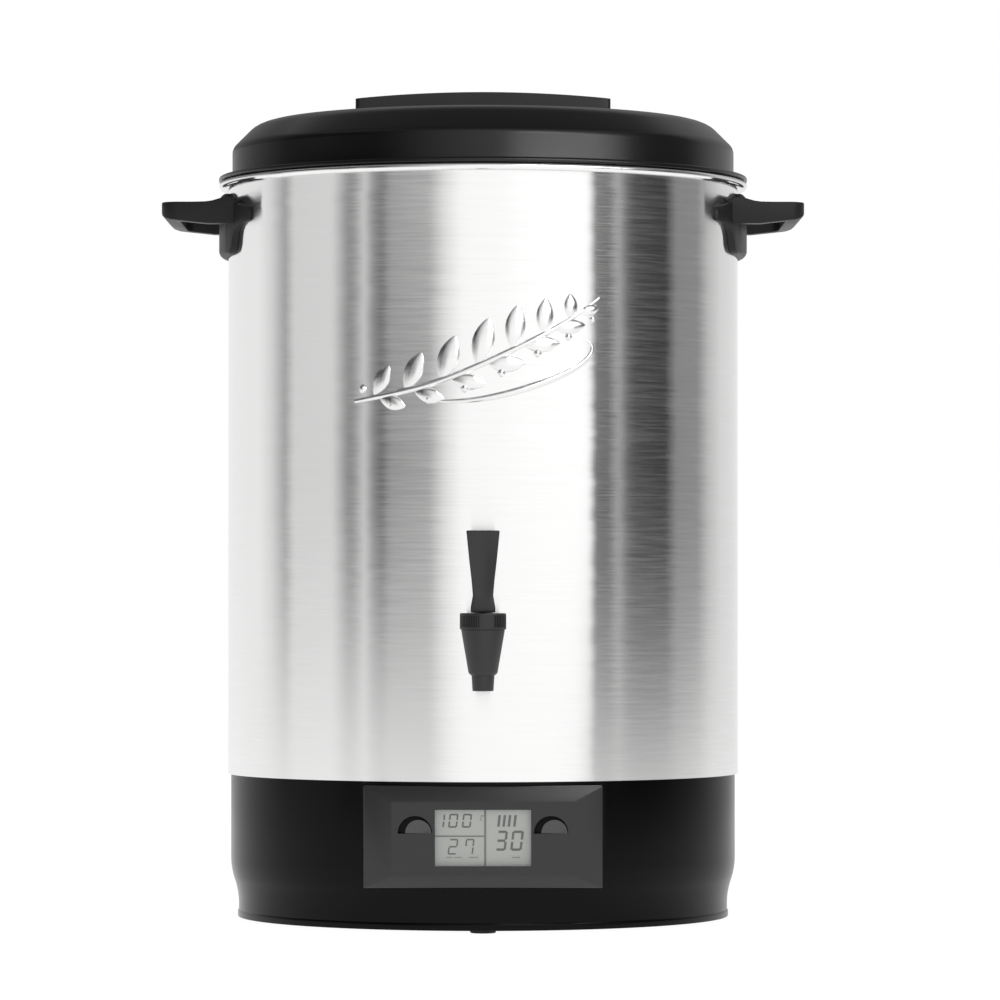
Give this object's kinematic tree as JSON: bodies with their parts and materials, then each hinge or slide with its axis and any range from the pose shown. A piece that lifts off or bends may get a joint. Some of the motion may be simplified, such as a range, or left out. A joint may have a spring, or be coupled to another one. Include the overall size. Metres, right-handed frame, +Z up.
{
  "type": "electric preserving kettle",
  "caption": "Tall round steel kettle with a black heated base, a small display panel, a lever tap, side handles and a lift-off lid.",
  "frame": {"origin": "on the floor, on the axis of the vessel, level with the undersides of the rubber feet", "axes": "+Z up along the axis of the vessel; the tap and the control panel face -Y; the side handles lie along +X and -X"},
  "size_m": [0.436, 0.4078, 0.5645],
  "materials": {
    "brushed_steel": "brushed",
    "base_black": "semi-gloss",
    "panel_black": "satin gloss",
    "cover_black": "matte",
    "lid_black": "satin",
    "grip_black": "satin",
    "handle_black": "satin",
    "tap_black": "satin gloss",
    "bonnet_black": "satin gloss",
    "nut_black": "satin",
    "key_black": "satin gloss",
    "rubber_black": "matte",
    "silicone_grey": "matte",
    "screw_steel": "bright",
    "stem_plastic": "satin",
    "aluminium_plate": "cast",
    "element_steel": "oxidised",
    "shield_steel": "plain sheet",
    "sensor_metal": "drawn",
    "lens_clear": "clear plastic",
    "lcd_grey": "display",
    "board_green": "solder mask",
    "switch_black": "moulded",
    "relay_case": "moulded",
    "terminal_white": "moulded",
    "lead_silicone": "silicone sleeve"
  },
  "bodies": {
    "kettle": {"base_cover": "cover_black", "base_housing": "base_black", "base_screw_1": "screw_steel", "base_screw_2": "screw_steel", "base_screw_3": "screw_steel", "base_seal_ring": "silicone_grey", "cable_gland": "nut_black", "control_board": "board_green", "control_panel": "panel_black", "cover_screw_1": "screw_steel", "cover_screw_2": "screw_steel", "cover_screw_3": "screw_steel", "filter_capacitor": "relay_case", "foot_front": "rubber_black", "foot_left": "rubber_black", "foot_right": "rubber_black", "gland_nut": "nut_black", "heat_shield": "shield_steel", "heat_spreader": "aluminium_plate", "heater_lead_1": "lead_silicone", "heater_lead_2": "lead_silicone", "heating_element": "element_steel", "lcd_module": "lcd_grey", "lcd_window": "lens_clear", "left_handle": "handle_black", "left_handle_lower_screw": "screw_steel", "left_handle_lower_washer": "silicone_grey", "left_handle_upper_screw": "screw_steel", "left_handle_upper_washer": "silicone_grey", "left_switch": "switch_black", "power_board": "board_green", "relay": "relay_case", "right_handle": "handle_black", "right_handle_lower_screw": "screw_steel", "right_handle_lower_washer": "silicone_grey", "right_handle_upper_screw": "screw_steel", "right_handle_upper_washer": "silicone_grey", "right_switch": "switch_black", "sensor_clip": "screw_steel", "tap_body": "tap_black", "tap_bonnet": "bonnet_black", "tap_gasket_inner": "silicone_grey", "tap_gasket_outer": "silicone_grey", "tap_nut": "nut_black", "temperature_sensor": "sensor_metal", "terminal_block": "terminal_white", "thermal_cutout": "sensor_metal", "vessel_shell": "brushed_steel"},
    "lid": {"lid_shell": "lid_black", "lid_rim": "lid_black", "lid_grip": "grip_black", "lid_grip_screw_left": "screw_steel", "lid_grip_screw_right": "screw_steel"},
    "tap_plunger": {"tap_stem": "stem_plastic", "tap_seat_cup": "silicone_grey", "tap_lever_pin": "screw_steel", "tap_spring": "screw_steel"},
    "tap_lever": {"tap_lever": "tap_black"},
    "left_key": {"left_key": "key_black"},
    "right_key": {"right_key": "key_black"}
  },
  "joints": [
    {"name": "lid_lift", "type": "slide", "parent": "kettle", "child": "lid", "axis": [0, 0, 1], "range_m": [0, 0.15]},
    {"name": "tap_plunger_lift", "type": "slide", "parent": "kettle", "child": "tap_plunger", "axis": [0, 0, 1], "range_m": [0, 0.0037], "stiffness_N_per_m": 500, "springref_m": -0.006, "deforming": ["tap_spring"]},
    {"name": "tap_lever_tilt", "type": "hinge", "parent": "tap_plunger", "child": "tap_lever", "pos_m": [0, -0.21, 0.2145], "axis": [1, 0, 0], "range_deg": [0, 30]},
    {"name": "left_key_press", "type": "slide", "parent": "kettle", "child": "left_key", "axis": [0, 1, 0], "range_m": [0, 0.0012], "stiffness_N_per_m": 600, "springref_m": -0.001},
    {"name": "right_key_press", "type": "slide", "parent": "kettle", "child": "right_key", "axis": [0, 1, 0], "range_m": [0, 0.0012], "stiffness_N_per_m": 600, "springref_m": -0.001}
  ],
  "couplings": [
    {"joint": "tap_lever_tilt", "follows": "tap_plunger_lift", "rad_per_m": 141.5}
  ]
}
